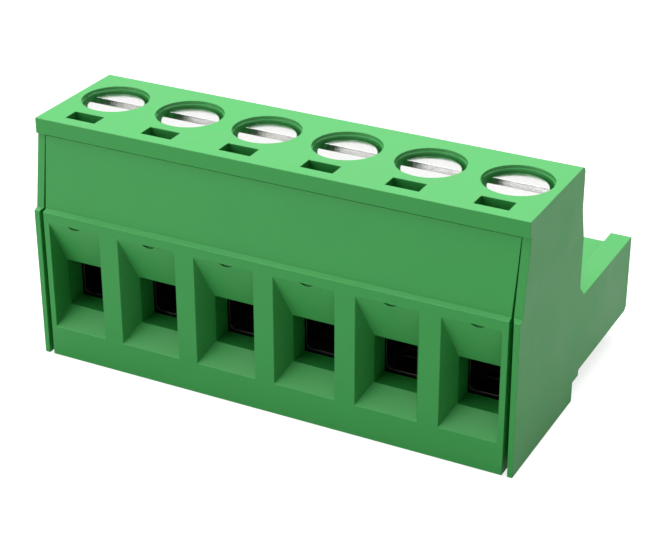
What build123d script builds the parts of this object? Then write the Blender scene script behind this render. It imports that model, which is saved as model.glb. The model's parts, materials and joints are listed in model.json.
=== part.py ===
"""Pluggable terminal block: a row of screw-operated rising cage clamps in a moulded plug housing.

Lengths are millimetres. X runs along the row of poles, Y runs back from the wire-entry face to the
mating face, and Z is up from the base. Pieces are drawn with Y = 0 at the wire-entry face and are
written out about the centre of the footprint.
"""
from build123d import *
import os

# Row of poles
pole_count = 6
pole_pitch = 5.08

# Clamp screw
screw_setback = 5.33
shank_radius = 1.25
tip_chamfer = 0.3
head_radius = 1.75
head_height = 1.5
head_edge_bevel = 0.12
slot_width = 0.8
slot_depth = 0.9
head_sink = 0.33

# Contact strip and its pin socket
strip_thickness = 0.5
strip_clearance = 0.15
strip_front_inset = 0.2
strip_drop = 1.4
strip_drop_length = 0.9
strip_bend_radius = 0.3
socket_width = 2.7
socket_fold_length = 2.4
arm_height = 2.3
pin_gap = 0.8
pin_gap_setback = 1.6
mouth_gap = 1.5
mouth_clearance = 0.2
contact_fit = 0.05

# Rising cage
cage_depth = 5.0
cage_opening_width = 2.6
cage_side = 0.55
cage_floor = 0.7
cage_head = 2.2
cage_inner_radius = 0.3
cage_outer_radius = 0.35
grip_groove_depth = 0.12
grip_groove_count = 3
grip_groove_spacing = 0.8
lift_travel = 2.61
lift_slack = 0.7

# Running and assembly clearances
thread_clearance = 0.05
bearing_clearance = 0.06
tip_clearance = 0.05
seat_clearance = 0.05
cage_side_clearance = 0.1
cage_floor_clearance = 0.1
cage_back_clearance = 0.25
cage_over_strip = 0.25

# Wire entry, from the front of the cover to the cage
window_low = 1.97
window_high = 8.85
window_half_width = 1.92
end_window_half_width = 1.56
throat_low = 3.0
throat_height = 2.97
throat_half_width = 1.31
throat_setback = 1.23
duct_wall = 0.45
duct_gap = 0.23
strip_above_throat = 0.03
cage_floor_step = 0.1
gate_mark_radius = 0.6
gate_mark_drop = 0.16
gate_mark_shift = 0.17
gate_mark_depth = 0.2

# Front face, shared by the cover and the ends of the housing
ledge_height = 9.47
ledge_rise = 0.12
ledge_run = 0.29
panel_lean = 0.68
lip_height = 0.95
lip_overhang = 0.19

# Front cover
cover_thickness = 2.0
panel_back = 1.5
panel_step = 0.5
cover_side_gap = 0.3
panel_foot_gap = 0.12
panel_top_gap = 0.03
cover_top_gap = 0.1
cover_back_gap = 0.05
tongue_width = 2.4
tongue_thickness = 0.6
tongue_length = 1.5
tongue_height = 0.85
tongue_barb = 0.15
tongue_fit = 0.06

# Housing
housing_height = 15.0
back_wall = 1.2
plug_length = 9.02
front_wall = 0.32
front_wall_draft = 0.05
panel_wall = 0.5
roof_inset = 0.48
roof_edge_radius = 0.4
roof_break_drop = 2.6
roof_break_height = 1.9
neck_height = 7.3
neck_chamfer = 0.75
foot_inset = 0.25
heel_reach = 0.69
heel_height = 1.23
plug_underside = 1.6
plug_top = 5.9
plug_edge_chamfer = 0.25
rib_width = 1.33
rim_radius = 2.0
rim_depth = 0.2
hole_radius = 1.94
probe_slot_width = 1.97
probe_slot_front = 1.59
probe_slot_length = 1.05

# Pin sockets in the mating face
cavity_width = 3.2
cavity_low = 2.35
cavity_high = 5.15
mating_wall = 0.8
mouth_width = 2.4
mouth_height = 2.2
mouth_lead_in = 0.4
strip_headroom = 0.2

# How far a cutting form runs past the surface that it opens
overcut = 1.0

# Places that follow from the sizes
half_width = pole_count * pole_pitch / 2
pole_places = [(pole - (pole_count - 1) / 2) * pole_pitch for pole in range(pole_count)]

throat_high = throat_low + throat_height
strip_bottom = throat_high + strip_above_throat
strip_top = strip_bottom + strip_thickness

cage_half_width = cage_opening_width / 2 + cage_side
cage_front = screw_setback - cage_depth / 2
cage_back = screw_setback + cage_depth / 2
cage_opening_low = throat_low + cage_floor_step
cage_bottom = cage_opening_low - cage_floor
cage_opening_high = strip_top + cage_over_strip
cage_top = cage_opening_high + cage_head

chamber_half_width = cage_half_width + cage_side_clearance
chamber_low = cage_bottom - cage_floor_clearance
chamber_high = cage_top + lift_travel + lift_slack
chamber_back = cage_back + cage_back_clearance

strip_width = cage_opening_width - 2 * strip_clearance
strip_bend_start = chamber_back + contact_fit + strip_bend_radius

head_top = housing_height - head_sink
head_bottom = head_top - head_height
head_seat = head_bottom - seat_clearance
screw_tip = strip_top + tip_clearance

tower_depth = chamber_back + back_wall
housing_depth = tower_depth + plug_length
roof_depth = tower_depth - roof_inset
rib_top = neck_height - neck_chamfer
lip_bottom = housing_height - lip_height
ledge_top = ledge_height + ledge_rise
panel_top_setback = ledge_run + panel_lean
lip_front = panel_top_setback - lip_overhang
duct_end = cage_front - duct_gap
cavity_end = housing_depth - mating_wall
cavity_middle = (cavity_low + cavity_high) / 2


def side_prism(outline, width):
    """Solid with a side-view outline of (y, z) corners, centred on X = 0."""
    wire = Wire.make_polygon([Vector(-width / 2, y, z) for y, z in outline], close=True)
    return extrude(Face(wire), amount=width, dir=(1, 0, 0))


def front_prism(outline, y_low, y_high):
    """Solid with a front-view outline of (x, z) corners, from one Y to another."""
    wire = Wire.make_polygon([Vector(x, y_low, z) for x, z in outline], close=True)
    return extrude(Face(wire), amount=y_high - y_low, dir=(0, 1, 0))


def block(width, y_low, y_high, z_low, z_high):
    """Rectangular block centred on X = 0."""
    middle = Pos(0, (y_low + y_high) / 2, (z_low + z_high) / 2)
    return middle * Box(width, y_high - y_low, z_high - z_low)


def tapered_block(front_window, y_front, back_window, y_back):
    """Four-sided taper between two upright windows, each x low, x high, z low, z high."""
    rings = []
    for (x_low, x_high, z_low, z_high), y in ((front_window, y_front), (back_window, y_back)):
        corners = [(x_low, y, z_low), (x_high, y, z_low), (x_high, y, z_high), (x_low, y, z_high)]
        rings.append([Vector(*corner) for corner in corners])
    front, back = rings
    outlines = [front, back]
    for here in range(4):
        outlines.append([front[here - 1], front[here], back[here], back[here - 1]])
    return Solid(Shell([Face(Wire.make_polygon(outline, close=True)) for outline in outlines]))


def on_screw_axis(radius, z_low, z_high):
    """Upright cylinder about the screw axis of a pole at X = 0."""
    return Pos(0, screw_setback, (z_low + z_high) / 2) * Cylinder(radius, z_high - z_low)


def panel_front(z):
    """Y of the slanted upper front panel at a height above the ledge."""
    return ledge_run + panel_lean * (z - ledge_top) / (lip_bottom - ledge_top)


def housing_body():
    """Outer form: tower, roof with its lip, foot, and the plug with a rib along each end."""
    side_view = [
        (0, 0),
        (0, ledge_height),
        (ledge_run, ledge_top),
        (panel_top_setback, lip_bottom),
        (lip_front, lip_bottom),
        (lip_front, housing_height),
        (roof_depth, housing_height),
        (roof_depth, housing_height - roof_break_drop),
        (tower_depth, housing_height - roof_break_drop - roof_break_height),
        (tower_depth, neck_height),
        (tower_depth + neck_chamfer, rib_top),
        (housing_depth, rib_top),
        (housing_depth, plug_underside + plug_edge_chamfer),
        (housing_depth - plug_edge_chamfer, plug_underside),
        (tower_depth + heel_reach, plug_underside),
        (tower_depth + heel_reach, heel_height),
        (tower_depth - foot_inset, heel_height),
        (tower_depth - foot_inset, 0),
    ]
    body = side_prism(side_view, 2 * half_width)
    top_edges = body.edges().filter_by(Axis.X).group_by(Axis.Z)[-1]
    body = fillet(top_edges.sort_by(Axis.Y)[-1], roof_edge_radius)
    width_inside_ribs = 2 * (half_width - rib_width)
    plug_start = tower_depth + neck_chamfer
    return body - block(width_inside_ribs, plug_start, housing_depth + overcut, plug_top, rib_top + overcut)


def cover_pocket():
    """Room for the front cover, between the thin end walls and under the lip."""
    lower_back = cover_thickness + cover_back_gap
    side_view = [
        (-overcut, -overcut),
        (-overcut, lip_bottom),
        (probe_slot_front, lip_bottom),
        (probe_slot_front, ledge_top),
        (lower_back, ledge_top - panel_step),
        (lower_back, -overcut),
    ]
    foot_half = half_width - front_wall
    ledge_half = foot_half - front_wall_draft
    panel_half = half_width - panel_wall
    front_view = [
        (-foot_half, -overcut),
        (-foot_half, 0),
        (-ledge_half, ledge_height),
        (-panel_half, ledge_top),
        (-panel_half, lip_bottom),
        (panel_half, lip_bottom),
        (panel_half, ledge_top),
        (ledge_half, ledge_height),
        (foot_half, 0),
        (foot_half, -overcut),
    ]
    return side_prism(side_view, 2 * half_width) & front_prism(front_view, -overcut, lower_back + overcut)


def clamp_room():
    """Hollow for one cage, with its screw hole, head seat and probe slot."""
    above = housing_height + overcut
    slot_back = probe_slot_front + probe_slot_length
    room = block(2 * chamber_half_width, panel_back, chamber_back, chamber_low, chamber_high)
    room += on_screw_axis(shank_radius + bearing_clearance, chamber_high - overcut, head_seat + overcut)
    room += on_screw_axis(hole_radius, head_seat, above)
    room += on_screw_axis(rim_radius, housing_height - rim_depth, above)
    room += block(probe_slot_width, probe_slot_front, slot_back, chamber_high - overcut, above)
    return room


def pin_cavity():
    """Hollow for one contact: strip passage, spring chamber and lead-in mouth."""
    inside = chamber_back - overcut
    cavity = block(cavity_width, inside, cavity_end, cavity_low, cavity_high)

    passage_top = strip_top + strip_headroom
    slope_start = strip_bend_start + strip_thickness
    slope_end = slope_start + strip_drop_length
    passage_view = [
        (inside, cavity_low),
        (inside, passage_top),
        (slope_start, passage_top),
        (slope_end, cavity_high),
        (slope_end, cavity_low),
    ]
    cavity += side_prism(passage_view, strip_width + 2 * strip_clearance)

    half_mouth = mouth_width / 2
    mouth_low = cavity_middle - mouth_height / 2
    mouth_high = cavity_middle + mouth_height / 2
    outer_half = half_mouth + mouth_lead_in
    inner_window = (-half_mouth, half_mouth, mouth_low, mouth_high)
    outer_window = (-outer_half, outer_half, mouth_low - mouth_lead_in, mouth_high + mouth_lead_in)
    cavity += block(mouth_width, cavity_end - overcut, housing_depth, mouth_low, mouth_high)
    return cavity + tapered_block(inner_window, housing_depth - mouth_lead_in, outer_window, housing_depth)


def snap_tongue(clearance):
    """Barbed tongue low on the back of the cover, or the slot for it with a clearance all round."""
    low = tongue_height - clearance
    high = tongue_height + tongue_thickness + clearance
    barb_start = cover_thickness + tongue_length / 2 - clearance
    tip = cover_thickness + tongue_length + clearance
    side_view = [
        (cover_thickness - tongue_length / 2, low),
        (cover_thickness - tongue_length / 2, high),
        (barb_start, high),
        (barb_start, high + tongue_barb),
        (tip, high),
        (tip, low),
    ]
    return side_prism(side_view, tongue_width + 2 * clearance)


def make_housing():
    """One moulding that carries the cover, contacts, screws and cages."""
    housing = housing_body() - cover_pocket()
    hollows = [clamp_room(), pin_cavity(), snap_tongue(tongue_fit)]
    for x in pole_places:
        for hollow in hollows:
            housing -= Pos(x, 0, 0) * hollow
    return housing


def gate_mark():
    """Shallow dip that the gate of the mould leaves under the upper edge of a window."""
    middle = Pos(0, gate_mark_depth / 2, window_high - gate_mark_drop + gate_mark_radius)
    disc = middle * Rot(90, 0, 0) * Cylinder(gate_mark_radius, gate_mark_depth)
    return disc & block(2 * gate_mark_radius, 0, gate_mark_depth, window_high - gate_mark_drop, window_high)


def wire_funnel(left_half, right_half):
    """Wire entry of one pole: a wide window that narrows to the throat of the duct."""
    window = (-left_half, right_half, window_low, window_high)
    throat = (-throat_half_width, throat_half_width, throat_low, throat_high)
    funnel = tapered_block(window, 0, throat, throat_setback)
    funnel += block(2 * throat_half_width, throat_setback, duct_end + overcut, throat_low, throat_high)
    return funnel + Pos(gate_mark_shift, 0, 0) * gate_mark()


def make_front_cover():
    """Snap-in front moulding with a wire funnel and a duct for each pole."""
    cover_top = lip_bottom - cover_top_gap
    side_view = [
        (0, 0),
        (0, ledge_height),
        (ledge_run, ledge_top),
        (panel_front(cover_top), cover_top),
        (panel_back, cover_top),
        (panel_back, ledge_top),
        (cover_thickness, ledge_top - panel_step),
        (cover_thickness, 0),
    ]
    foot_half = half_width - front_wall - cover_side_gap
    panel_foot_half = half_width - panel_wall - panel_foot_gap
    panel_top_half = half_width - panel_wall - panel_top_gap
    front_view = [
        (-foot_half, 0),
        (-foot_half, ledge_height),
        (-panel_foot_half, ledge_top),
        (-panel_top_half, cover_top),
        (panel_top_half, cover_top),
        (panel_foot_half, ledge_top),
        (foot_half, ledge_height),
        (foot_half, 0),
    ]
    cover = side_prism(side_view, 2 * half_width) & front_prism(front_view, 0, cover_thickness)
    duct_width = 2 * (throat_half_width + duct_wall)
    duct = block(duct_width, throat_setback, duct_end, throat_low - duct_wall, throat_high + duct_wall)
    for x in pole_places:
        cover += Pos(x, 0, 0) * duct
        cover += Pos(x, 0, 0) * snap_tongue(0)
    for x in pole_places:
        left_half = end_window_half_width if x == pole_places[0] else window_half_width
        right_half = end_window_half_width if x == pole_places[-1] else window_half_width
        cover -= Pos(x, 0, 0) * wire_funnel(left_half, right_half)
    return cover


def make_clamp_screw():
    """Slotted captive screw: its head turns in the roof and its tip bears on the contact strip."""
    head = on_screw_axis(head_radius, head_bottom, head_top)
    head = chamfer(head.edges().filter_by(GeomType.CIRCLE).sort_by(Axis.Z)[-1], head_edge_bevel)
    shank = on_screw_axis(shank_radius, screw_tip, head_bottom)
    shank = chamfer(shank.edges().filter_by(GeomType.CIRCLE).sort_by(Axis.Z)[0], tip_chamfer)
    slot_front = screw_setback - slot_width / 2
    slot_back = screw_setback + slot_width / 2
    slot_floor = head_top - slot_depth
    slot_length = 2 * head_radius + overcut
    return head + shank - block(slot_length, slot_front, slot_back, slot_floor, head_top + overcut)


def make_clamp_cage():
    """Rising cage: a drawn box section with a thick tapped head and a grooved floor."""
    section_plane = Plane(origin=(0, cage_back, 0), x_dir=(1, 0, 0), z_dir=(0, -1, 0))
    outline = RectangleRounded(2 * cage_half_width, cage_top - cage_bottom, cage_outer_radius)
    opening = Rectangle(cage_opening_width, cage_opening_high - cage_opening_low)
    opening = fillet(opening.vertices().group_by(Axis.Y)[0], cage_inner_radius)
    outline = Pos(0, (cage_bottom + cage_top) / 2) * outline
    opening = Pos(0, (cage_opening_low + cage_opening_high) / 2) * opening
    cage = extrude(section_plane * (outline - opening), amount=cage_depth, dir=(0, -1, 0))
    cage -= on_screw_axis(shank_radius + thread_clearance, cage_opening_high, cage_top)
    groove_view = [
        (-grip_groove_depth, 0),
        (0, -grip_groove_depth),
        (grip_groove_depth, 0),
        (0, grip_groove_depth),
    ]
    groove = side_prism(groove_view, cage_opening_width - 2 * cage_inner_radius)
    for number in range(grip_groove_count):
        y = screw_setback + (number - (grip_groove_count - 1) / 2) * grip_groove_spacing
        cage -= Pos(0, y, cage_opening_low) * groove
    return cage


def bent_sheet(middle_points, section_x, width, thickness):
    """Sheet of even thickness whose middle follows straight runs joined by bends."""
    path = FilletPolyline(*middle_points, radius=strip_bend_radius + thickness / 2)
    start = Plane(origin=path @ 0, x_dir=section_x, z_dir=path % 0)
    return sweep(start * Rectangle(width, thickness), path=path)


def make_contact():
    """Contact pressed from one strip: clamp tongue, joggle, folded socket and two pinching arms."""
    strip_front = cage_front + strip_front_inset
    strip_middle = strip_bottom + strip_thickness / 2
    socket_start = strip_bend_start + strip_drop_length
    fold_start = socket_start + strip_bend_radius
    fold_end = socket_start + socket_fold_length
    socket_middle = strip_middle - strip_drop
    socket_top = socket_middle + strip_thickness / 2
    socket_bottom = socket_middle - strip_thickness / 2
    strip_run = [
        (0, strip_front, strip_middle),
        (0, strip_bend_start, strip_middle),
        (0, socket_start, socket_middle),
        (0, fold_end, socket_middle),
    ]
    contact = bent_sheet(strip_run, (1, 0, 0), strip_width, strip_thickness)
    contact += block(socket_width, fold_start, fold_end, socket_bottom, socket_top)

    arm_end = cavity_end - mouth_clearance
    pinch = arm_end - pin_gap_setback
    arm_root = (socket_width - strip_thickness) / 2
    arm_pinch = (pin_gap + strip_thickness) / 2
    arm_mouth = (mouth_gap + strip_thickness) / 2
    for side in (-1, 1):
        arm_run = [
            (side * arm_root, fold_start, cavity_middle),
            (side * arm_root, fold_end, cavity_middle),
            (side * arm_pinch, pinch, cavity_middle),
            (side * arm_mouth, arm_end, cavity_middle),
        ]
        contact += bent_sheet(arm_run, (0, 0, 1), arm_height, strip_thickness)
    return contact


pieces = {
    "housing": make_housing(),
    "front_cover": make_front_cover(),
}
pole_pieces = {
    "clamp_screw": make_clamp_screw(),
    "clamp_cage": make_clamp_cage(),
    "contact": make_contact(),
}
for name, piece in pole_pieces.items():
    for number, place in enumerate(pole_places, start=1):
        pieces[f"{name}_{number}"] = Pos(place, 0, 0) * piece

os.makedirs("parts", exist_ok=True)
for name, piece in pieces.items():
    export_step(Pos(0, -housing_depth / 2, 0) * piece, f"parts/{name}.step")
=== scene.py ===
"""Looks of a pluggable terminal block: mouldings, plated screws, rising cages, contact strips.

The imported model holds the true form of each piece. Here each piece gets its small edge radii, its
thread or its fine marks, and a surface like the real one, and a plain white stage lights the whole.
"""
import json
import math

import bpy
from bpy.props import FloatProperty, FloatVectorProperty, IntProperty, PointerProperty
from mathutils import Matrix, Vector


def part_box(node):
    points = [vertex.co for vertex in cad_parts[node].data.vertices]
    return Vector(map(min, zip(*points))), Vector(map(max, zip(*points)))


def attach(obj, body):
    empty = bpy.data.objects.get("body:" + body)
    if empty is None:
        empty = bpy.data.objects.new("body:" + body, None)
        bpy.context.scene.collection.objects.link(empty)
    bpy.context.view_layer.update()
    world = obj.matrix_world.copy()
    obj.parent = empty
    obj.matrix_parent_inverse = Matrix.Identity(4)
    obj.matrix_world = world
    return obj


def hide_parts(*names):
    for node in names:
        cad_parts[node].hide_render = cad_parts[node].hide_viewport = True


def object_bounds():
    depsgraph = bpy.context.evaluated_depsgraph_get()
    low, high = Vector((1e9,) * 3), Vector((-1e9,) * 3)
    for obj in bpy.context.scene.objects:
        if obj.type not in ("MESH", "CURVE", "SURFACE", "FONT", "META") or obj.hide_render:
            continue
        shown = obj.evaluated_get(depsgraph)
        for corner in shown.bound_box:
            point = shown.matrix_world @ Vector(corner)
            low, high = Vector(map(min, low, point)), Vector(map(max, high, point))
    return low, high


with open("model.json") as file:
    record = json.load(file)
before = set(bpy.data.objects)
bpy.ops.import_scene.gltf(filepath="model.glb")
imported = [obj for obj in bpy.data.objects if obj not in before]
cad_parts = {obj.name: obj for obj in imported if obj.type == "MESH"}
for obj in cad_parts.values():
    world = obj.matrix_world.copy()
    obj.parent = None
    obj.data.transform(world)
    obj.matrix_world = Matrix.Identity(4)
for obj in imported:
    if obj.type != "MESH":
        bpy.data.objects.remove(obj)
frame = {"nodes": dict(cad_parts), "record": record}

bl_info = {
    "name": "Pluggable terminal block",
    "version": (1, 0, 0),
    "blender": (4, 5, 0),
    "location": "3D View > Sidebar > Terminal block",
    "description": "Builds the finished pieces of a pluggable terminal block and its stage",
    "category": "Object",
}

CAD_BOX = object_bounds()
POLES = range(1, 7)
BODY_OF = {
    node: body
    for body, nodes in frame["record"]["behaviour"]["bodies"].items()
    for node in nodes
}

# Pieces are worked on a thousand times larger, so that one unit is a millimetre
BENCH = 1000.0

# On the bench, points nearer than this are one point, and faces that turn by less than this angle
# from one to the next lie in one plane
ONE_POINT = 0.001
ONE_PLANE = math.radians(0.2)

# On the bench, a face smaller than this may be part of a curved surface, whose facets turn by less
# than this angle from one to the next
CURVED_FACET_AREA = 1.8
CURVED_FACET_TURN = math.radians(22.7)

# On the bench, the long faces of the mouldings are cut beside the middle of each pole and beside
# each place half way between two, so that no face of theirs is a long sliver
HALF_PITCH = 2.54
FIRST_POLE = -12.7
CUT_SHIFT = 0.08
MOULDING_CUTS = [
    HALF_PITCH * step + FIRST_POLE + CUT_SHIFT * (-1) ** step
    for step in range(-1, 12)
]

# Number of sides of one turn of the screws' thread
THREAD_FACETS = 32

# The floor lies this far under the base, so that the two never share a plane
FLOOR_GAP = 0.00001
FLOOR_COLOUR = (0.5, 0.5, 0.5, 1.0)

# Every lamp stands this far from the middle of the block. Its azimuth and elevation are in degrees,
# and last comes the side of its square in metres
LAMP_DISTANCE = 0.35
LAMPS = {
    "top_lamp": (0, 90, 0.36),
    "back_lamp": (180, 68, 0.3),
    "left_lamp": (-90, 65, 0.3),
    "rear_lamp": (-150, 35, 0.46),
    "front_lamp": (-35, 20, 0.2),
}

# The camera looks at this point from this distance, in metres, and from this azimuth and elevation,
# in degrees
CAMERA_AIM = Vector((0.0044017, -0.0092096, 0.0096961))
CAMERA_DISTANCE = 0.098196
CAMERA_AZIMUTH = 27.125
CAMERA_ELEVATION = 27.366
SENSOR_WIDTH = 36


# Sizes and colours


class MouldingSettings(bpy.types.PropertyGroup):
    colour: FloatVectorProperty(
        name="Colour", description="Colour of the moulded polyamide",
        default=(0.042, 0.43, 0.08), size=3, min=0, max=1, subtype="COLOR")
    # Paler colour on the rounded edges: partly rubbed wear, partly painted highlight.
    edge_wear_and_highlight_colour: FloatVectorProperty(
        name="Edge colour", description="Paler colour of the rubbed edges",
        default=(0.14, 0.46, 0.18), size=3, min=0, max=1, subtype="COLOR")
    roughness: FloatProperty(
        name="Roughness", description="Roughness of the moulded faces",
        default=0.46, min=0, max=1, subtype="FACTOR")
    edge_radius: FloatProperty(
        name="Edge radius", description="Radius that the mould leaves on outer and inner edges",
        default=0.00003, min=0, unit="LENGTH", precision=6)
    grain_depth: FloatProperty(
        name="Grain depth", description="Depth of the fine grain of the mould's surface",
        default=0.0000012, min=0, unit="LENGTH", precision=7)


class ScrewSettings(bpy.types.PropertyGroup):
    colour: FloatVectorProperty(
        name="Colour", description="Colour of the bright zinc plate",
        default=(0.75, 0.75, 0.742), size=3, min=0, max=1, subtype="COLOR")
    roughness: FloatProperty(
        name="Roughness", description="Roughness of the plated head",
        default=0.16, min=0, max=1, subtype="FACTOR")
    shank_radius: FloatProperty(
        name="Shank radius", description="Outer radius of the thread",
        default=0.00125, min=0, unit="LENGTH", precision=5)
    thread_lead: FloatProperty(
        name="Thread lead", description="Travel of the thread in one turn",
        default=0.00045, min=0, unit="LENGTH", precision=5)
    thread_depth: FloatProperty(
        name="Thread depth", description="Depth of the thread's groove",
        default=0.00024, min=0, unit="LENGTH", precision=5)
    head_height: FloatProperty(
        name="Head height", description="Height of the round head",
        default=0.0015, min=0, unit="LENGTH", precision=5)
    head_edge: FloatProperty(
        name="Head edge", description="Width of the rounding round the top of the head",
        default=0.00012, min=0, unit="LENGTH", precision=6)
    slot_width: FloatProperty(
        name="Slot width", description="Width of the driving slot",
        default=0.0008, min=0, unit="LENGTH", precision=5)
    slot_depth: FloatProperty(
        name="Slot depth", description="Depth of the driving slot",
        default=0.0009, min=0, unit="LENGTH", precision=5)
    slot_corner: FloatProperty(
        name="Slot corner", description="Rounding that the saw leaves along the floor of the slot",
        default=0.00022, min=0, unit="LENGTH", precision=5)
    tip_chamfer: FloatProperty(
        name="Tip chamfer", description="Chamfer round the end of the shank",
        default=0.0003, min=0, unit="LENGTH", precision=5)
    edge_radius: FloatProperty(
        name="Edge radius", description="Radius left by plating on the edges of the slot",
        default=0.00001, min=0, unit="LENGTH", precision=6)
    facets: IntProperty(
        name="Facets", description="Number of sides of the turned forms",
        default=96, min=24)


class StampingSettings(bpy.types.PropertyGroup):
    # Far darker than nickel plate: this colour is painted shade for the cages deep in the dark wire
    # throats.
    cage_colour_with_painted_shade: FloatVectorProperty(
        name="Cage colour", description="Colour of the dull nickel plate of the cages",
        default=(0.16, 0.158, 0.15), size=3, min=0, max=1, subtype="COLOR")
    cage_roughness: FloatProperty(
        name="Cage roughness", description="Roughness of the dull nickel plate",
        default=0.33, min=0, max=1, subtype="FACTOR")
    strip_colour: FloatVectorProperty(
        name="Strip colour", description="Colour of the tin plate of the contact strips",
        default=(0.74, 0.73, 0.70), size=3, min=0, max=1, subtype="COLOR")
    strip_roughness: FloatProperty(
        name="Strip roughness", description="Roughness of the tin plate",
        default=0.38, min=0, max=1, subtype="FACTOR")
    edge_radius: FloatProperty(
        name="Edge radius", description="Radius on the edges of the stampings",
        default=0.00002, min=0, unit="LENGTH", precision=6)


class StageSettings(bpy.types.PropertyGroup):
    floor_size: FloatProperty(
        name="Floor size", description="Side of the square floor",
        default=1.6, min=0.1, unit="LENGTH")
    floor_seen: FloatProperty(
        name="Floor seen",
        description="White that the camera sees on the floor besides its own light",
        default=0.8, min=0, max=1)
    floor_mirrored: FloatProperty(
        name="Floor mirrored",
        description="White of the floor in reflections, besides its own light",
        default=0.30, min=0, max=1)
    ambient: FloatProperty(
        name="Ambient light", description="Strength of the even light from all round",
        default=0.04, min=0, max=2)
    top_lamp: FloatProperty(
        name="Top lamp", description="Power of the broad soft lamp overhead",
        default=0.40, min=0, unit="POWER")
    back_lamp: FloatProperty(
        name="Back lamp", description="Power of the soft lamp high behind",
        default=0.90, min=0, unit="POWER")
    left_lamp: FloatProperty(
        name="Left lamp", description="Power of the soft lamp high on the left",
        default=0.50, min=0, unit="POWER")
    rear_lamp: FloatProperty(
        name="Rear lamp",
        description="Power of the broad dim lamp that shows in the top as a pale sheen",
        default=0.17, min=0, unit="POWER")
    front_lamp: FloatProperty(
        name="Front lamp", description="Power of the weak soft lamp in front and to the left",
        default=0.40, min=0, unit="POWER")
    camera_lens: FloatProperty(
        name="Lens", description="Focal length of the camera",
        default=98.4, min=10, unit="CAMERA")


# Work on the bench


def only_this(piece):
    """Selects one piece alone and makes it the active one."""
    bpy.ops.object.select_all(action="DESELECT")
    piece.select_set(True)
    bpy.context.view_layer.objects.active = piece


def apply_modifiers(piece):
    """Applies the modifiers of a piece in their order."""
    only_this(piece)
    for name in [modifier.name for modifier in piece.modifiers]:
        bpy.ops.object.modifier_apply(modifier=name)


def mesh_box(mesh):
    """Lowest and highest corner of a mesh."""
    columns = list(zip(*[vertex.co for vertex in mesh.vertices]))
    return [min(column) for column in columns], [max(column) for column in columns]


def mark_flat_faces(mesh):
    """Marks the faces that are too large to be facets of a curved surface."""
    flat = mesh.attributes.new("flat_face", "BOOLEAN", "FACE")
    flat.data.foreach_set("value", [face.area > CURVED_FACET_AREA for face in mesh.polygons])


def bench_copy(node, name, cuts=()):
    """Copy of a CAD node at bench scale, merged into flat faces that are cut at places along X."""
    piece = bpy.data.objects.new(name, frame["nodes"][node].data.copy())
    bpy.context.scene.collection.objects.link(piece)
    piece.data.materials.clear()
    piece.data.transform(Matrix.Scale(BENCH, 4))
    only_this(piece)
    bpy.ops.mesh.customdata_custom_splitnormals_clear()
    bpy.ops.object.mode_set(mode="EDIT")
    bpy.ops.mesh.select_all(action="SELECT")
    bpy.ops.mesh.remove_doubles(threshold=ONE_POINT)
    bpy.ops.mesh.dissolve_limited(angle_limit=ONE_PLANE)
    bpy.ops.object.mode_set(mode="OBJECT")
    mark_flat_faces(piece.data)
    bpy.ops.object.mode_set(mode="EDIT")
    for cut_x in cuts:
        bpy.ops.mesh.select_all(action="SELECT")
        bpy.ops.mesh.bisect(plane_co=(cut_x, 0, 0), plane_no=(1, 0, 0))
    bpy.ops.mesh.select_all(action="SELECT")
    bpy.ops.mesh.vert_connect_concave()
    bpy.ops.object.mode_set(mode="OBJECT")
    return piece


def steady_normals(mesh):
    """Keeps flat faces flat to the light, and curves it over rounded edges and turned faces."""
    flat = [mark.value for mark in mesh.attributes["flat_face"].data]
    around = [[] for vertex in mesh.vertices]
    for face in mesh.polygons:
        for index in face.vertices:
            around[index].append(face)
    normals = []
    for face in mesh.polygons:
        for index in face.vertices:
            if face.material_index == 0 and flat[face.index]:
                normals.append(face.normal.copy())
                continue
            kept = [other for other in around[index] if other.material_index == 0]
            if face.material_index == 0:
                kept = [
                    other for other in kept
                    if face.normal.angle(other.normal, math.pi) < CURVED_FACET_TURN
                ]
            total = Vector()
            for other in kept or around[index]:
                total += other.normal * other.area
            normals.append(total.normalized())
    mesh.normals_split_custom_set(normals)
    mesh.attributes.remove(mesh.attributes["flat_face"])
    for face in mesh.polygons:
        face.material_index = 0


def round_edges(piece, radius, sharper_than=30):
    """Gives the sharp edges of a piece a small radius and keeps it inside its own box.

    The rounded faces carry the second material until the normals are set.
    """
    lowest, highest = mesh_box(piece.data)
    rounding = piece.modifiers.new("Edge radius", "BEVEL")
    rounding.width = radius * BENCH
    rounding.segments = 2
    rounding.limit_method = "ANGLE"
    rounding.angle_limit = math.radians(sharper_than)
    rounding.use_clamp_overlap = False
    rounding.loop_slide = False
    rounding.miter_outer = "MITER_ARC"
    for name in ("faces", "roundings"):
        piece.data.materials.append(bpy.data.materials.new(name))
    rounding.material = 1
    only_this(piece)
    bpy.ops.object.shade_smooth()
    apply_modifiers(piece)
    for vertex in piece.data.vertices:
        for axis in range(3):
            vertex.co[axis] = min(max(vertex.co[axis], lowest[axis]), highest[axis])
    steady_normals(piece.data)
    piece.data.materials.clear()


def copy_to(piece, name, shift):
    """Copy of a finished piece with its own mesh, moved by a distance at bench scale."""
    copy = bpy.data.objects.new(name, piece.data.copy())
    bpy.context.scene.collection.objects.link(copy)
    copy.data.transform(Matrix.Translation(shift))
    return copy


def off_the_bench(piece, node, material):
    """Brings a piece back to its real size and puts it in the place of its CAD node."""
    piece.data.transform(Matrix.Scale(1 / BENCH, 4))
    piece.data.materials.append(material)
    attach(piece, BODY_OF[node])
    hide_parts(node)


def shift_from_first(node, first):
    """Distance at bench scale from the first piece of a kind to another."""
    return (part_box(node)[0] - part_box(first)[0]) * BENCH


# Shader groups


def new_group(name, inputs, outputs):
    """Shader group with inputs by name, where None stands for a vector, and number outputs."""
    group = bpy.data.node_groups.new(name, "ShaderNodeTree")
    for label, value in inputs.items():
        kind = "NodeSocketVector" if value is None else "NodeSocketFloat"
        socket = group.interface.new_socket(label, in_out="INPUT", socket_type=kind)
        if value is not None:
            socket.default_value = value
    for label in outputs:
        group.interface.new_socket(label, in_out="OUTPUT", socket_type="NodeSocketFloat")
    return group


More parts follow.
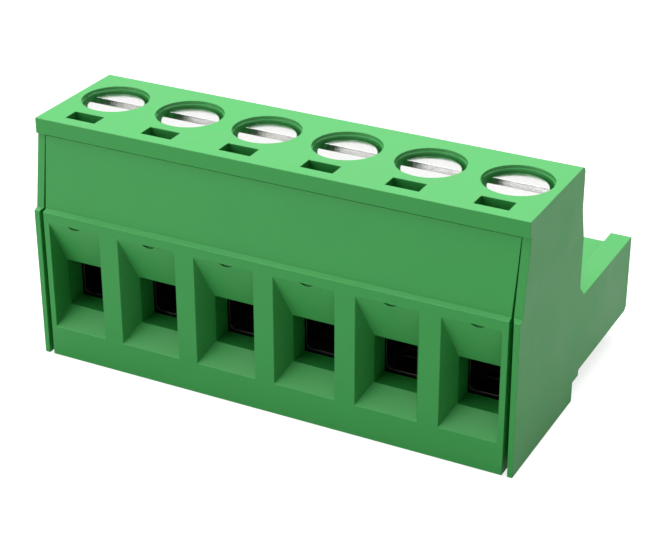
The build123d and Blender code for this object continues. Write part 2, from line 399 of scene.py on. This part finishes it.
def add_node(tree, kind, place=(0, 0), **settings):
    """Adds a shader node and sets its properties."""
    node = tree.nodes.new(kind)
    node.location = place
    for key, value in settings.items():
        setattr(node, key, value)
    return node


def set_inputs(node, **values):
    """Sets input sockets by name, with underscores for spaces."""
    for key, value in values.items():
        node.inputs[key.replace("_", " ")].default_value = value


def fine_grain_group():
    """Fine even grain: a height for a bump and a mask that varies roughness, both about 0 to 1."""
    group = bpy.data.node_groups.get("Fine grain")
    if group:
        return group
    group = new_group(
        "Fine grain", {"Place": None, "Grains per metre": 9000.0, "Patch scale": 260.0},
        ["Height", "Patches"])
    start = add_node(group, "NodeGroupInput", (-700, 0))
    end = add_node(group, "NodeGroupOutput", (500, 0))
    grain = add_node(group, "ShaderNodeTexNoise", (-300, 200), noise_dimensions="3D")
    set_inputs(grain, Detail=3.0, Roughness=0.62)
    patches = add_node(group, "ShaderNodeTexNoise", (-300, -200), noise_dimensions="3D")
    set_inputs(patches, Detail=4.0, Roughness=0.55, Distortion=0.6)
    links = group.links
    links.new(start.outputs["Place"], grain.inputs["Vector"])
    links.new(start.outputs["Grains per metre"], grain.inputs["Scale"])
    links.new(start.outputs["Place"], patches.inputs["Vector"])
    links.new(start.outputs["Patch scale"], patches.inputs["Scale"])
    links.new(grain.outputs["Fac"], end.inputs["Height"])
    links.new(patches.outputs["Fac"], end.inputs["Patches"])
    return group


def bare_edge_group():
    """Mask that is 1 on rounded edges and 0 on open faces, broken up a little by noise."""
    group = bpy.data.node_groups.get("Bare edge")
    if group:
        return group
    group = new_group(
        "Bare edge", {"Place": None, "Width": 0.0001, "Break-up scale": 1500.0}, ["Edge"])
    start = add_node(group, "NodeGroupInput", (-900, 0))
    end = add_node(group, "NodeGroupOutput", (700, 0))
    face = add_node(group, "ShaderNodeNewGeometry", (-700, 200))
    rounded = add_node(group, "ShaderNodeBevel", (-700, 0), samples=6)
    turn = add_node(group, "ShaderNodeVectorMath", (-450, 100), operation="DOT_PRODUCT")
    edge = add_node(group, "ShaderNodeMapRange", (-200, 100), clamp=True)
    set_inputs(edge, From_Min=0.995, From_Max=0.8, To_Min=0.0, To_Max=1.0)
    noise = add_node(group, "ShaderNodeTexNoise", (-450, -200))
    set_inputs(noise, Detail=3.0, Roughness=0.6)
    worn = add_node(group, "ShaderNodeMapRange", (-200, -200), clamp=True)
    set_inputs(worn, From_Min=0.3, From_Max=0.6, To_Min=0.35, To_Max=1.0)
    product = add_node(group, "ShaderNodeMath", (100, 0), operation="MULTIPLY")
    links = group.links
    links.new(start.outputs["Width"], rounded.inputs["Radius"])
    links.new(face.outputs["True Normal"], turn.inputs[0])
    links.new(rounded.outputs["Normal"], turn.inputs[1])
    links.new(turn.outputs["Value"], edge.inputs["Value"])
    links.new(start.outputs["Place"], noise.inputs["Vector"])
    links.new(start.outputs["Break-up scale"], noise.inputs["Scale"])
    links.new(noise.outputs["Fac"], worn.inputs["Value"])
    links.new(edge.outputs["Result"], product.inputs[0])
    links.new(worn.outputs["Result"], product.inputs[1])
    links.new(product.outputs["Value"], end.inputs["Edge"])
    return group


def painted_recess_shade_group(own_piece_only):
    """Painted shade: 1 on open faces, falling to Depth where ambient occlusion finds a face open by
    no more than Closed.
    """
    name = "Recess in its own piece" if own_piece_only else "Recess"
    group = bpy.data.node_groups.get(name)
    if group:
        return group
    group = new_group(name, {"Reach": 0.003, "Depth": 0.5, "Closed": 0.0}, ["Shade"])
    start = add_node(group, "NodeGroupInput", (-500, 0))
    end = add_node(group, "NodeGroupOutput", (400, 0))
    openness = add_node(group, "ShaderNodeAmbientOcclusion", (-250, 100), samples=8,
                        only_local=own_piece_only)
    span = add_node(group, "ShaderNodeMapRange", (100, 0), clamp=True)
    set_inputs(span, From_Max=0.95, To_Max=1.0)
    links = group.links
    links.new(start.outputs["Reach"], openness.inputs["Distance"])
    links.new(openness.outputs["AO"], span.inputs["Value"])
    links.new(start.outputs["Closed"], span.inputs["From Min"])
    links.new(start.outputs["Depth"], span.inputs["To Min"])
    links.new(span.outputs["Result"], end.inputs["Shade"])
    return group


def use_group(tree, group, place=(0, 0), **values):
    """Places a shader group in a material with its own values."""
    node = add_node(tree, "ShaderNodeGroup", place, node_tree=group)
    set_inputs(node, **values)
    return node


# Materials


def new_material(name):
    """Material with a bare Principled shader, its output and object coordinates."""
    material = bpy.data.materials.new(name)
    material.use_nodes = True
    tree = material.node_tree
    tree.nodes.clear()
    shader = add_node(tree, "ShaderNodeBsdfPrincipled", (600, 0))
    output = add_node(tree, "ShaderNodeOutputMaterial", (900, 0))
    tree.links.new(shader.outputs["BSDF"], output.inputs["Surface"])
    place = add_node(tree, "ShaderNodeTexCoord", (-900, 0))
    return material, tree, shader, place.outputs["Object"]


def mix_colours(tree, factor, first, second, place=(0, 0)):
    """Mixes two colours, plain or linked, by a linked factor."""
    mix = add_node(tree, "ShaderNodeMix", place, data_type="RGBA")
    tree.links.new(factor, mix.inputs["Factor"])
    for socket, colour in (("A", first), ("B", second)):
        target = [s for s in mix.inputs if s.name == socket and s.type == "RGBA"][0]
        if isinstance(colour, bpy.types.NodeSocket):
            tree.links.new(colour, target)
        else:
            target.default_value = (*colour, 1.0)
    return [s for s in mix.outputs if s.type == "RGBA"][0]


def darken(tree, colour, shade_value, place=(0, 0)):
    """Multiplies a linked colour by a linked number."""
    return mix_colours(tree, shade_value, (0.0, 0.0, 0.0), colour, place)


def spread(tree, value, low, high, place=(0, 0), value_low=0.3, value_high=0.7):
    """Maps a noise value to a range of numbers."""
    span = add_node(tree, "ShaderNodeMapRange", place, clamp=True)
    set_inputs(span, From_Min=value_low, From_Max=value_high, To_Min=low, To_Max=high)
    tree.links.new(value, span.inputs["Value"])
    return span.outputs["Result"]


def shade(colour, factor):
    """A colour made lighter or darker."""
    return tuple(min(1.0, channel * factor) for channel in colour)


def moulded_green(settings):
    """Satin polyamide: a fine spark grain, faint flow patches, edges paler by wear and by painted
    highlight, and painted shade in its recesses.
    """
    material, tree, shader, place = new_material("Moulded green")
    set_inputs(shader, IOR=1.5, Metallic=0.0, Specular_IOR_Level=0.55)
    grain = use_group(tree, fine_grain_group(), (-650, 100),
                      Grains_per_metre=9000.0, Patch_scale=260.0)
    edge = use_group(tree, bare_edge_group(), (-650, -250), Width=0.00007)
    tree.links.new(place, grain.inputs["Place"])
    tree.links.new(place, edge.inputs["Place"])
    body = mix_colours(tree, grain.outputs["Patches"], shade(settings.colour, 0.96),
                       shade(settings.colour, 1.04), (-300, 200))
    specks = spread(tree, grain.outputs["Height"], 0.0, 0.25, (-300, 0), 0.45, 0.75)
    speck = mix_colours(tree, specks, body, shade(settings.colour, 0.9), (-50, 200))
    # Rounded edges turn paler: partly rubbed wear, partly painted highlight.
    rubbed_and_highlit = spread(tree, edge.outputs["Edge"], 0.0, 0.3, (-300, -250), 0.0, 1.0)
    pale = mix_colours(tree, rubbed_and_highlit, speck, settings.edge_wear_and_highlight_colour, (200, 200))
    # Painted shade: ambient occlusion within the piece darkens the base colour in its recesses,
    # such as the wire funnels.
    painted_recess_shade = use_group(tree, painted_recess_shade_group(True), (-300, -600),
                       Reach=0.006, Depth=0.58, Closed=0.3)
    shaded = darken(tree, pale, painted_recess_shade.outputs["Shade"], (400, 200))
    tree.links.new(shaded, shader.inputs["Base Color"])
    rough = settings.roughness
    tree.links.new(spread(tree, grain.outputs["Patches"], rough - 0.05, rough + 0.05, (200, 0)),
                   shader.inputs["Roughness"])
    bump = add_node(tree, "ShaderNodeBump", (300, -250))
    set_inputs(bump, Strength=1.0, Distance=settings.grain_depth)
    tree.links.new(grain.outputs["Height"], bump.inputs["Height"])
    tree.links.new(bump.outputs["Normal"], shader.inputs["Normal"])
    return material


def plated_steel(settings):
    """Bright zinc plate over turned steel: fine rings round the axis and small pits."""
    material, tree, shader, place = new_material("Plated steel")
    set_inputs(shader, Metallic=1.0)
    axis_place = add_node(tree, "ShaderNodeAttribute", (-900, -250), attribute_name="from_axis")
    grain = use_group(tree, fine_grain_group(), (-650, 100),
                      Grains_per_metre=16000.0, Patch_scale=900.0)
    tree.links.new(place, grain.inputs["Place"])
    split = add_node(tree, "ShaderNodeSeparateXYZ", (-650, -250))
    tree.links.new(axis_place.outputs["Vector"], split.inputs["Vector"])
    flat = add_node(tree, "ShaderNodeCombineXYZ", (-450, -250))
    tree.links.new(split.outputs["X"], flat.inputs["X"])
    tree.links.new(split.outputs["Y"], flat.inputs["Y"])
    radius = add_node(tree, "ShaderNodeVectorMath", (-250, -250), operation="LENGTH")
    tree.links.new(flat.outputs["Vector"], radius.inputs[0])
    rings = add_node(tree, "ShaderNodeTexNoise", (-50, -250), noise_dimensions="1D")
    set_inputs(rings, Scale=14.0, Detail=4.0, Roughness=0.7)
    tree.links.new(radius.outputs["Value"], rings.inputs["W"])
    pits = spread(tree, grain.outputs["Height"], 0.0, 1.0, (-300, 200), 0.35, 0.7)
    tone = mix_colours(tree, pits, shade(settings.colour, 1.04), shade(settings.colour, 0.86),
                       (0, 200))
    tree.links.new(tone, shader.inputs["Base Color"])
    rough = settings.roughness
    tree.links.new(spread(tree, grain.outputs["Patches"], rough - 0.06, rough + 0.1, (200, 0)),
                   shader.inputs["Roughness"])
    ring_bump = add_node(tree, "ShaderNodeBump", (200, -250))
    set_inputs(ring_bump, Strength=0.35, Distance=0.000002)
    tree.links.new(rings.outputs["Fac"], ring_bump.inputs["Height"])
    pit_bump = add_node(tree, "ShaderNodeBump", (400, -250))
    set_inputs(pit_bump, Strength=0.5, Distance=0.000002)
    tree.links.new(grain.outputs["Height"], pit_bump.inputs["Height"])
    tree.links.new(ring_bump.outputs["Normal"], pit_bump.inputs["Normal"])
    tree.links.new(pit_bump.outputs["Normal"], shader.inputs["Normal"])
    return material


def rolled_plate(name, colour, roughness, stretch):
    """Plated sheet metal with faint rolling lines along its length, brighter rubbed edges and
    painted shade in recesses.
    """
    material, tree, shader, place = new_material(name)
    set_inputs(shader, Metallic=1.0)
    along = add_node(tree, "ShaderNodeMapping", (-900, -250))
    along.inputs["Scale"].default_value = stretch
    tree.links.new(place, along.inputs["Vector"])
    lines = use_group(tree, fine_grain_group(), (-650, -250),
                      Grains_per_metre=6000.0, Patch_scale=1400.0)
    tree.links.new(along.outputs["Vector"], lines.inputs["Place"])
    grain = use_group(tree, fine_grain_group(), (-650, 100),
                      Grains_per_metre=12000.0, Patch_scale=700.0)
    tree.links.new(place, grain.inputs["Place"])
    edge = use_group(tree, bare_edge_group(), (-650, -550), Width=0.00006)
    tree.links.new(place, edge.inputs["Place"])
    tone = mix_colours(tree, spread(tree, grain.outputs["Patches"], 0.0, 1.0, (-300, 200)),
                       shade(colour, 0.88), shade(colour, 1.06), (0, 200))
    bright = mix_colours(tree, edge.outputs["Edge"], tone, shade(colour, 1.25), (250, 200))
    # Painted shade: ambient occlusion from this and the other pieces darkens the base colour where
    # the plate lies inside the housing.
    painted_recess_shade = use_group(tree, painted_recess_shade_group(False), (-300, -750),
                       Reach=0.003, Depth=0.2, Closed=0.0)
    shaded = darken(tree, bright, painted_recess_shade.outputs["Shade"], (450, 200))
    tree.links.new(shaded, shader.inputs["Base Color"])
    uneven = spread(tree, grain.outputs["Patches"], roughness - 0.07, roughness + 0.09, (200, 0))
    tree.links.new(uneven, shader.inputs["Roughness"])
    line_bump = add_node(tree, "ShaderNodeBump", (200, -250))
    set_inputs(line_bump, Strength=0.5, Distance=0.000003)
    tree.links.new(lines.outputs["Height"], line_bump.inputs["Height"])
    tree.links.new(line_bump.outputs["Normal"], shader.inputs["Normal"])
    return material


# Pieces


def threaded_rod(settings, low, high):
    """Closed length of right-hand thread about the origin, between two heights on the bench.

    Its crest and root are each an eighth of the lead wide. The helix runs past both heights and is
    cut off there.
    """
    crest = settings.shank_radius * BENCH
    root = crest - settings.thread_depth * BENCH
    lead = settings.thread_lead * BENCH
    flat = lead / 8
    flank = (lead - 2 * flat) / 2
    profile = [
        (crest, 0), (crest, flat), (root, flat + flank), (root, 2 * flat + flank), (crest, lead)]
    start = low - 2 * lead
    mesh = bpy.data.meshes.new("threaded_rod")
    mesh.from_pydata([(x, 0, start + z) for x, z in profile], [(i, i + 1) for i in range(4)], [])
    rod = bpy.data.objects.new("threaded_rod", mesh)
    bpy.context.scene.collection.objects.link(rod)
    helix = rod.modifiers.new("Helix", "SCREW")
    helix.axis = "Z"
    helix.screw_offset = lead
    helix.iterations = int((high - low) / lead) + 5
    helix.steps = THREAD_FACETS
    helix.render_steps = THREAD_FACETS
    apply_modifiers(rod)
    bpy.ops.object.mode_set(mode="EDIT")
    bpy.ops.mesh.select_all(action="SELECT")
    bpy.ops.mesh.remove_doubles(threshold=ONE_POINT)
    for height, side in ((low, -1), (high, 1)):
        bpy.ops.mesh.select_all(action="SELECT")
        bpy.ops.mesh.bisect(
            plane_co=(0, 0, height), plane_no=(0, 0, side), use_fill=True, clear_outer=True)
    bpy.ops.mesh.select_all(action="SELECT")
    bpy.ops.mesh.normals_make_consistent(inside=False)
    bpy.ops.object.mode_set(mode="OBJECT")
    return rod


def cut(piece, tool, operation="DIFFERENCE"):
    """Cuts, joins or crosses a piece with a tool, and removes the tool."""
    step = piece.modifiers.new("Cut", "BOOLEAN")
    step.operation = operation
    step.solver = "EXACT"
    step.object = tool
    apply_modifiers(piece)
    bpy.data.objects.remove(tool, do_unlink=True)


def add_cylinder(radius, low, high, facets):
    """Upright cylinder about the origin between two heights."""
    bpy.ops.object.select_all(action="DESELECT")
    bpy.ops.mesh.primitive_cylinder_add(
        vertices=facets, radius=radius, depth=high - low, location=(0, 0, (low + high) / 2))
    bpy.ops.object.transform_apply(location=True, rotation=True, scale=True)
    return bpy.context.active_object


def bevel_rim(piece, height, width, segments):
    """Bevels the edges of a turned form that lie at one height."""
    only_this(piece)
    bpy.ops.object.mode_set(mode="EDIT")
    bpy.ops.mesh.select_mode(type="EDGE")
    bpy.ops.mesh.select_all(action="DESELECT")
    bpy.ops.object.mode_set(mode="OBJECT")
    vertices = piece.data.vertices
    for edge in piece.data.edges:
        heights = [vertices[index].co.z for index in edge.vertices]
        edge.select = all(abs(level - height) < ONE_POINT for level in heights)
    bpy.ops.object.mode_set(mode="EDIT")
    bpy.ops.mesh.bevel(offset=width, segments=segments, affect="EDGES")
    bpy.ops.object.mode_set(mode="OBJECT")


def slot_cutter(settings, top):
    """Long block with a rounded floor, which cuts the driving slot along X."""
    depth = settings.slot_depth * BENCH
    width = settings.slot_width * BENCH
    length = 4 * settings.shank_radius * BENCH
    bpy.ops.object.select_all(action="DESELECT")
    bpy.ops.mesh.primitive_cube_add(size=1, location=(0, 0, top))
    cutter = bpy.context.active_object
    cutter.scale = (length, width, 2 * depth)
    bpy.ops.object.transform_apply(location=True, rotation=True, scale=True)
    bevel_rim(cutter, top - depth, settings.slot_corner * BENCH, 8)
    return cutter


def turned_screw(settings):
    """Slotted screw about the origin at bench scale, at the heights that it has in the block."""
    low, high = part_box("clamp_screw_1")
    tip = low.z * BENCH
    top = high.z * BENCH
    head_radius = (high.x - low.x) / 2 * BENCH
    head_low = top - settings.head_height * BENCH
    head_edge = settings.head_edge * BENCH
    chamfer = settings.tip_chamfer * BENCH
    overlap = head_edge
    blank_radius = settings.shank_radius * BENCH + overlap / 2
    blank = add_cylinder(blank_radius, tip, head_low + overlap, settings.facets)
    bevel_rim(blank, tip, chamfer + overlap / 2, 1)
    cut(blank, threaded_rod(settings, tip - chamfer, head_low + 2 * overlap), "INTERSECT")
    screw = add_cylinder(head_radius, head_low, top, settings.facets)
    bevel_rim(screw, top, head_edge, 4)
    cut(screw, slot_cutter(settings, top))
    cut(screw, blank, "UNION")
    mark_flat_faces(screw.data)
    screw.name = "screw_1"
    return screw


def make_row(pattern, kind, name, material):
    """Puts a copy of a pattern, which lies where the first of its kind does, in every pole."""
    for number in POLES:
        node = f"{kind}_{number}"
        piece = copy_to(pattern, f"{name}_{number}", shift_from_first(node, f"{kind}_1"))
        off_the_bench(piece, node, material)
    bpy.data.objects.remove(pattern, do_unlink=True)


def store_place(piece):
    """Keeps each point's place from the screw's own axis, in millimetres, for the turning marks."""
    places = piece.data.attributes.new("from_axis", "FLOAT_VECTOR", "POINT")
    places.data.foreach_set("vector", [c for vertex in piece.data.vertices for c in vertex.co])


# Operators


class TERMINAL_OT_make_housing(bpy.types.Operator):
    """Makes the green housing with its edge radii"""

    bl_idname = "terminal.make_housing"
    bl_label = "Housing"

    def execute(self, context):
        settings = context.scene.terminal_moulding
        housing = bench_copy("housing", "housing_moulding", MOULDING_CUTS)
        round_edges(housing, settings.edge_radius, sharper_than=22)
        off_the_bench(housing, "housing", moulded_green(settings))
        return {"FINISHED"}


class TERMINAL_OT_make_front_cover(bpy.types.Operator):
    """Makes the snap-in front cover with its wire funnels"""

    bl_idname = "terminal.make_front_cover"
    bl_label = "Front cover"

    def execute(self, context):
        settings = context.scene.terminal_moulding
        cover = bench_copy("front_cover", "cover_moulding", MOULDING_CUTS)
        round_edges(cover, settings.edge_radius, sharper_than=22)
        material = bpy.data.materials.get("Moulded green") or moulded_green(settings)
        off_the_bench(cover, "front_cover", material)
        return {"FINISHED"}


class TERMINAL_OT_make_screws(bpy.types.Operator):
    """Makes the slotted clamp screws with their threads"""

    bl_idname = "terminal.make_screws"
    bl_label = "Clamp screws"

    def execute(self, context):
        settings = context.scene.terminal_screw
        pattern = turned_screw(settings)
        round_edges(pattern, settings.edge_radius, sharper_than=55)
        store_place(pattern)
        material = plated_steel(settings)
        for number in POLES:
            node = f"clamp_screw_{number}"
            low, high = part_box(node)
            axis = Vector(((low.x + high.x) / 2, (low.y + high.y) / 2, 0)) * BENCH
            off_the_bench(copy_to(pattern, f"slotted_screw_{number}", axis), node, material)
        bpy.data.objects.remove(pattern, do_unlink=True)
        return {"FINISHED"}


class TERMINAL_OT_make_cages(bpy.types.Operator):
    """Makes the rising cages that grip the wires"""

    bl_idname = "terminal.make_cages"
    bl_label = "Rising cages"

    def execute(self, context):
        settings = context.scene.terminal_stamping
        pattern = bench_copy("clamp_cage_1", "cage_pattern")
        round_edges(pattern, settings.edge_radius)
        # The cages get the darkened colour, and painted shade from the housing around them.
        material = rolled_plate(
            "Plated cage", settings.cage_colour_with_painted_shade, settings.cage_roughness, stretch=(1, 0.08, 1))
        make_row(pattern, "clamp_cage", "rising_cage", material)
        return {"FINISHED"}


class TERMINAL_OT_make_contacts(bpy.types.Operator):
    """Makes the pressed contact strips with their pin sockets"""

    bl_idname = "terminal.make_contacts"
    bl_label = "Contact strips"

    def execute(self, context):
        settings = context.scene.terminal_stamping
        pattern = bench_copy("contact_1", "contact_pattern")
        round_edges(pattern, settings.edge_radius, sharper_than=60)
        material = rolled_plate(
            "Tinned strip", settings.strip_colour, settings.strip_roughness, stretch=(1, 0.05, 1))
        make_row(pattern, "contact", "contact_strip", material)
        return {"FINISHED"}


# Stage


def add_floor(settings):
    """White floor that keeps the block's soft shadow and can be seen through from below."""
    bpy.ops.object.select_all(action="DESELECT")
    bpy.ops.mesh.primitive_plane_add(size=settings.floor_size, location=(0, 0, -FLOOR_GAP))
    floor = bpy.context.active_object
    floor.name = "floor"
    material, tree, shader = new_material("White floor")[:3]
    set_inputs(shader, Roughness=0.9, Specular_IOR_Level=0.0, Base_Color=FLOOR_COLOUR)
    path = add_node(tree, "ShaderNodeLightPath", (-500, 300))
    mirrored = add_node(tree, "ShaderNodeMath", (-250, 200), operation="MULTIPLY")
    mirrored.inputs[1].default_value = settings.floor_mirrored
    seen = add_node(tree, "ShaderNodeMath", (0, 300), operation="MULTIPLY_ADD")
    seen.inputs[1].default_value = settings.floor_seen
    glow = add_node(tree, "ShaderNodeEmission", (300, 300))
    both = add_node(tree, "ShaderNodeAddShader", (800, 100))
    side = add_node(tree, "ShaderNodeNewGeometry", (600, -300))
    clear = add_node(tree, "ShaderNodeBsdfTransparent", (800, -300))
    either = add_node(tree, "ShaderNodeMixShader", (1000, 0))
    output = [node for node in tree.nodes if node.type == "OUTPUT_MATERIAL"][0]
    links = tree.links
    links.new(path.outputs["Is Glossy Ray"], mirrored.inputs[0])
    links.new(path.outputs["Is Camera Ray"], seen.inputs[0])
    links.new(mirrored.outputs["Value"], seen.inputs[2])
    links.new(seen.outputs["Value"], glow.inputs["Strength"])
    links.new(shader.outputs["BSDF"], both.inputs[0])
    links.new(glow.outputs["Emission"], both.inputs[1])
    links.new(side.outputs["Backfacing"], either.inputs["Fac"])
    links.new(both.outputs["Shader"], either.inputs[1])
    links.new(clear.outputs["BSDF"], either.inputs[2])
    links.new(either.outputs["Shader"], output.inputs["Surface"])
    floor.data.materials.append(material)


def set_world(settings):
    """Even light from all round, seen as plain white by the camera and in reflections."""
    world = bpy.data.worlds.new("White studio")
    world.use_nodes = True
    tree = world.node_tree
    tree.nodes.clear()
    path = add_node(tree, "ShaderNodeLightPath", (-600, 200))
    seen = add_node(tree, "ShaderNodeMath", (-400, 200), operation="MAXIMUM")
    seen_all = add_node(tree, "ShaderNodeMath", (-200, 200), operation="MAXIMUM")
    strength = add_node(tree, "ShaderNodeMapRange", (0, 200))
    set_inputs(strength, From_Min=0.0, From_Max=1.0, To_Min=settings.ambient, To_Max=1.0)
    light = add_node(tree, "ShaderNodeBackground", (200, 0))
    set_inputs(light, Color=(1.0, 1.0, 1.0, 1.0))
    output = add_node(tree, "ShaderNodeOutputWorld", (400, 0))
    links = tree.links
    links.new(path.outputs["Is Camera Ray"], seen.inputs[0])
    links.new(path.outputs["Is Glossy Ray"], seen.inputs[1])
    links.new(seen.outputs["Value"], seen_all.inputs[0])
    links.new(path.outputs["Is Transmission Ray"], seen_all.inputs[1])
    links.new(seen_all.outputs["Value"], strength.inputs["Value"])
    links.new(strength.outputs["Result"], light.inputs["Strength"])
    links.new(light.outputs["Background"], output.inputs["Surface"])
    bpy.context.scene.world = world


def direction(azimuth, elevation):
    """Direction in degrees from the front, turning to the right, and up from the floor."""
    turn = math.radians(azimuth)
    rise = math.radians(elevation)
    level = math.cos(rise)
    return Vector((math.sin(turn) * level, -math.cos(turn) * level, math.sin(rise)))


def add_soft_lamp(name, azimuth, elevation, side, power):
    """Square soft lamp that points at the middle of the block."""
    data = bpy.data.lights.new(name, "AREA")
    data.size = side
    data.energy = power
    lamp = bpy.data.objects.new(name, data)
    towards = direction(azimuth, elevation)
    lamp.location = (CAD_BOX[0] + CAD_BOX[1]) / 2 + LAMP_DISTANCE * towards
    lamp.rotation_euler = (-towards).to_track_quat("-Z", "Y").to_euler()
    bpy.context.scene.collection.objects.link(lamp)


def add_camera(settings):
    """Camera at the reference view: from the front right and above."""
    back = direction(CAMERA_AZIMUTH, CAMERA_ELEVATION)
    data = bpy.data.cameras.new("camera")
    data.lens = settings.camera_lens
    data.sensor_width = SENSOR_WIDTH
    data.clip_start = 0.001
    camera = bpy.data.objects.new("camera", data)
    camera.location = CAMERA_AIM + back * CAMERA_DISTANCE
    camera.rotation_euler = (-back).to_track_quat("-Z", "Y").to_euler()
    bpy.context.scene.collection.objects.link(camera)
    bpy.context.scene.camera = camera


class TERMINAL_OT_make_stage(bpy.types.Operator):
    """Makes the white floor, the soft light and the camera"""

    bl_idname = "terminal.make_stage"
    bl_label = "Stage"

    def execute(self, context):
        settings = context.scene.terminal_stage
        context.scene.view_settings.view_transform = "Standard"
        add_floor(settings)
        set_world(settings)
        for name, (azimuth, elevation, side) in LAMPS.items():
            add_soft_lamp(name, azimuth, elevation, side, getattr(settings, name))
        add_camera(settings)
        return {"FINISHED"}


# Panel and registration


class TERMINAL_PT_sidebar(bpy.types.Panel):
    """Lists the pieces of the terminal block in the order in which they are made"""

    bl_idname = "TERMINAL_PT_sidebar"
    bl_label = "Terminal block"
    bl_space_type = "VIEW_3D"
    bl_region_type = "UI"
    bl_category = "Terminal block"

    def draw(self, context):
        for group in SETTINGS:
            settings = getattr(context.scene, group)
            box = self.layout.box()
            for name in settings.bl_rna.properties.keys():
                if name not in ("rna_type", "name"):
                    box.prop(settings, name)
        for operator in OPERATORS:
            self.layout.operator(operator.bl_idname)


SETTINGS = {
    "terminal_moulding": MouldingSettings,
    "terminal_screw": ScrewSettings,
    "terminal_stamping": StampingSettings,
    "terminal_stage": StageSettings,
}
OPERATORS = (
    TERMINAL_OT_make_stage,
    TERMINAL_OT_make_housing,
    TERMINAL_OT_make_front_cover,
    TERMINAL_OT_make_screws,
    TERMINAL_OT_make_cages,
    TERMINAL_OT_make_contacts,
)


def register():
    """Registers the settings, the operators and the panel."""
    for name, group in SETTINGS.items():
        bpy.utils.register_class(group)
        setattr(bpy.types.Scene, name, PointerProperty(type=group))
    for operator in OPERATORS:
        bpy.utils.register_class(operator)
    bpy.utils.register_class(TERMINAL_PT_sidebar)


def unregister():
    """Takes everything out again in the opposite order."""
    bpy.utils.unregister_class(TERMINAL_PT_sidebar)
    for operator in reversed(OPERATORS):
        bpy.utils.unregister_class(operator)
    for name, group in reversed(SETTINGS.items()):
        delattr(bpy.types.Scene, name)
        bpy.utils.unregister_class(group)


def main():
    """Builds the stage and every piece."""
    register()
    bpy.ops.terminal.make_stage()
    bpy.ops.terminal.make_housing()
    bpy.ops.terminal.make_front_cover()
    bpy.ops.terminal.make_screws()
    bpy.ops.terminal.make_cages()
    bpy.ops.terminal.make_contacts()


if __name__ == "__main__":
    main()
